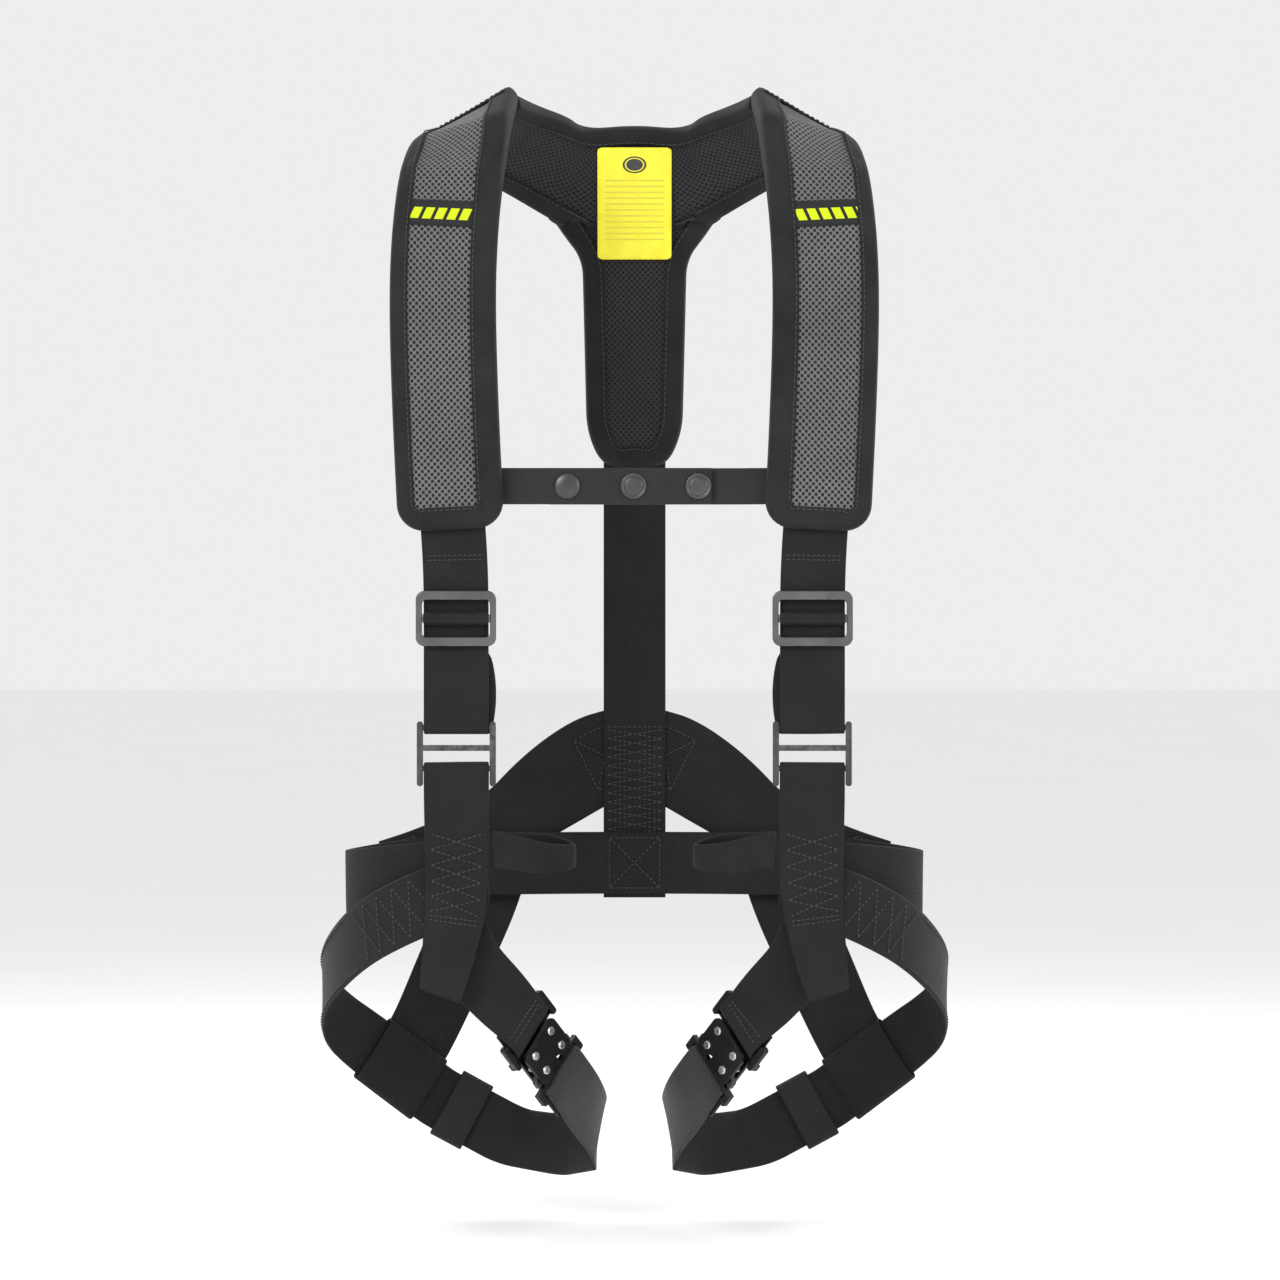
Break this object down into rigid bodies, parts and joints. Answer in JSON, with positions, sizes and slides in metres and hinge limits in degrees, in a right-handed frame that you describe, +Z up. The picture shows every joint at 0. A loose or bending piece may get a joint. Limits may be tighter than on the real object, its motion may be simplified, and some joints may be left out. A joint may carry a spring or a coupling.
{
  "type": "safety harness vest",
  "caption": "Full-body safety harness with padded shoulders, Y back pad, snapped chest strap, sliding adjusters, waist belt, side loops and leg loops with quick-release buckles.",
  "frame": {"origin": "midway between the shoulders, at the height where the pads' inner edges rest on the wearer", "axes": "+Z up, -Y the wearer's front, +X to the right as seen from the front"},
  "size_m": [0.45, 0.205, 0.7688],
  "materials": {
    "air_mesh": "grey diamond air mesh over foam",
    "dark_mesh": "dark charcoal air mesh over foam",
    "webbing": "black woven polyester webbing, satin",
    "binding": "black folded binding tape, stitched",
    "patch": "black woven patch with a yellow-green woven mark",
    "label": "bright yellow coated label",
    "elastic": "ribbed black elastic",
    "dark_metal": "gunmetal coating, worn bright on edges",
    "steel": "bright steel",
    "snap_metal": "black oxide snap metal"
  },
  "bodies": {
    "root": {"back_strap_left": "webbing", "back_strap_right": "webbing", "back_web": "webbing", "buckle_base_plate_left": "dark_metal", "buckle_base_plate_right": "dark_metal", "buckle_cover_plate_left": "dark_metal", "buckle_cover_plate_right": "dark_metal", "buckle_rivets_left": "steel", "buckle_rivets_right": "steel", "buckle_springs": "steel", "care_label": "label", "chest_tabs": "webbing", "dorsal_patch": "webbing", "hip_web_left": "webbing", "hip_web_right": "webbing", "leg_web_rear_left": "webbing", "leg_web_rear_right": "webbing", "pad_binding_left": "binding", "pad_binding_right": "binding", "pad_liner_left": "dark_mesh", "pad_liner_right": "dark_mesh", "pad_patch_left": "patch", "pad_patch_right": "patch", "riser_strap_left": "webbing", "riser_strap_right": "webbing", "shoulder_pad_left": "air_mesh", "shoulder_pad_right": "air_mesh", "shoulder_web_left": "webbing", "shoulder_web_right": "webbing", "three_bar_slide_left": "dark_metal", "three_bar_slide_right": "dark_metal", "upper_leg_strap_left": "webbing", "upper_leg_strap_right": "webbing", "waist_belt": "webbing", "yoke_binding": "binding", "yoke_cover": "dark_mesh", "yoke_pad": "dark_mesh"},
    "chest_left": {"chest_strap_left": "webbing", "snap_caps": "snap_metal"},
    "chest_right": {"chest_strap_right": "webbing", "snap_studs": "snap_metal"},
    "dorsal_loop": {"dorsal_loop": "webbing"},
    "adjuster_left": {"adjuster_frame_left": "dark_metal", "adjuster_bar_left": "dark_metal", "adjuster_wrap_left": "webbing"},
    "side_loop_left": {"side_loop_left": "webbing"},
    "keeper_left": {"keeper_left": "elastic"},
    "tongue_left": {"buckle_tongue_left": "dark_metal", "leg_web_front_left": "webbing"},
    "clip_upper_left": {"release_clip_upper_left": "dark_metal"},
    "clip_lower_left": {"release_clip_lower_left": "dark_metal"},
    "adjuster_right": {"adjuster_frame_right": "dark_metal", "adjuster_bar_right": "dark_metal", "adjuster_wrap_right": "webbing"},
    "side_loop_right": {"side_loop_right": "webbing"},
    "keeper_right": {"keeper_right": "elastic"},
    "tongue_right": {"buckle_tongue_right": "dark_metal", "leg_web_front_right": "webbing"},
    "clip_upper_right": {"release_clip_upper_right": "dark_metal"},
    "clip_lower_right": {"release_clip_lower_right": "dark_metal"}
  },
  "joints": [
    {"name": "chest_left_swing", "type": "hinge", "parent": "root", "child": "chest_left", "pos_m": [-0.0885, -0.0828, -0.2705], "axis": [0, 0, -1], "range_deg": [0, 90]},
    {"name": "chest_right_swing", "type": "hinge", "parent": "root", "child": "chest_right", "pos_m": [0.0885, -0.0828, -0.2705], "axis": [0, 0, -1], "range_deg": [0, 60]},
    {"name": "dorsal_loop_swing", "type": "hinge", "parent": "root", "child": "dorsal_loop", "pos_m": [0, 0.1005, -0.1], "axis": [1, 0, 0], "range_deg": [0, 120]},
    {"name": "adjuster_left_slide", "type": "slide", "parent": "root", "child": "adjuster_left", "axis": [0, 0, 1], "range_m": [-0.04, 0.035]},
    {"name": "side_loop_left_swing", "type": "hinge", "parent": "root", "child": "side_loop_left", "pos_m": [-0.096, -0.09, -0.5195], "axis": [0, 0, -1], "range_deg": [-40, 75]},
    {"name": "keeper_left_slide", "type": "slide", "parent": "root", "child": "keeper_left", "axis": [0.881, -0.0272, -0.4723], "range_m": [-0.002, 0.022]},
    {"name": "tongue_left_release", "type": "slide", "parent": "root", "child": "tongue_left", "axis": [0.4809, 0.5449, -0.6869], "range_m": [0, 0.03], "deforming": ["leg_web_front_left"]},
    {"name": "clip_upper_left_press", "type": "hinge", "parent": "root", "child": "clip_upper_left", "pos_m": [-0.05406, -0.04454, -0.6565], "axis": [-0.7498, 0.6617, 0], "range_deg": [0, 8], "stiffness_Nm_per_rad": 0.02, "springref_deg": -5.73},
    {"name": "clip_lower_left_press", "type": "hinge", "parent": "root", "child": "clip_lower_left", "pos_m": [-0.06433, -0.05618, -0.67293], "axis": [0.7498, -0.6617, 0], "range_deg": [0, 8], "stiffness_Nm_per_rad": 0.02, "springref_deg": -5.73},
    {"name": "adjuster_right_slide", "type": "slide", "parent": "root", "child": "adjuster_right", "axis": [0, 0, 1], "range_m": [-0.04, 0.035]},
    {"name": "side_loop_right_swing", "type": "hinge", "parent": "root", "child": "side_loop_right", "pos_m": [0.096, -0.09, -0.5195], "axis": [0, 0, 1], "range_deg": [-40, 75]},
    {"name": "keeper_right_slide", "type": "slide", "parent": "root", "child": "keeper_right", "axis": [-0.881, -0.0272, -0.4723], "range_m": [-0.002, 0.022]},
    {"name": "tongue_right_release", "type": "slide", "parent": "root", "child": "tongue_right", "axis": [-0.4809, 0.5449, -0.6869], "range_m": [0, 0.03], "deforming": ["leg_web_front_right"]},
    {"name": "clip_upper_right_press", "type": "hinge", "parent": "root", "child": "clip_upper_right", "pos_m": [0.05406, -0.04454, -0.6565], "axis": [-0.7498, -0.6617, 0], "range_deg": [0, 8], "stiffness_Nm_per_rad": 0.02, "springref_deg": -5.73},
    {"name": "clip_lower_right_press", "type": "hinge", "parent": "root", "child": "clip_lower_right", "pos_m": [0.06433, -0.05618, -0.67293], "axis": [0.7498, 0.6617, 0], "range_deg": [0, 8], "stiffness_Nm_per_rad": 0.02, "springref_deg": -5.73}
  ],
  "couplings": [
    {"joint": "clip_lower_left_press", "follows": "clip_upper_left_press", "ratio": 1},
    {"joint": "clip_lower_right_press", "follows": "clip_upper_right_press", "ratio": 1}
  ]
}
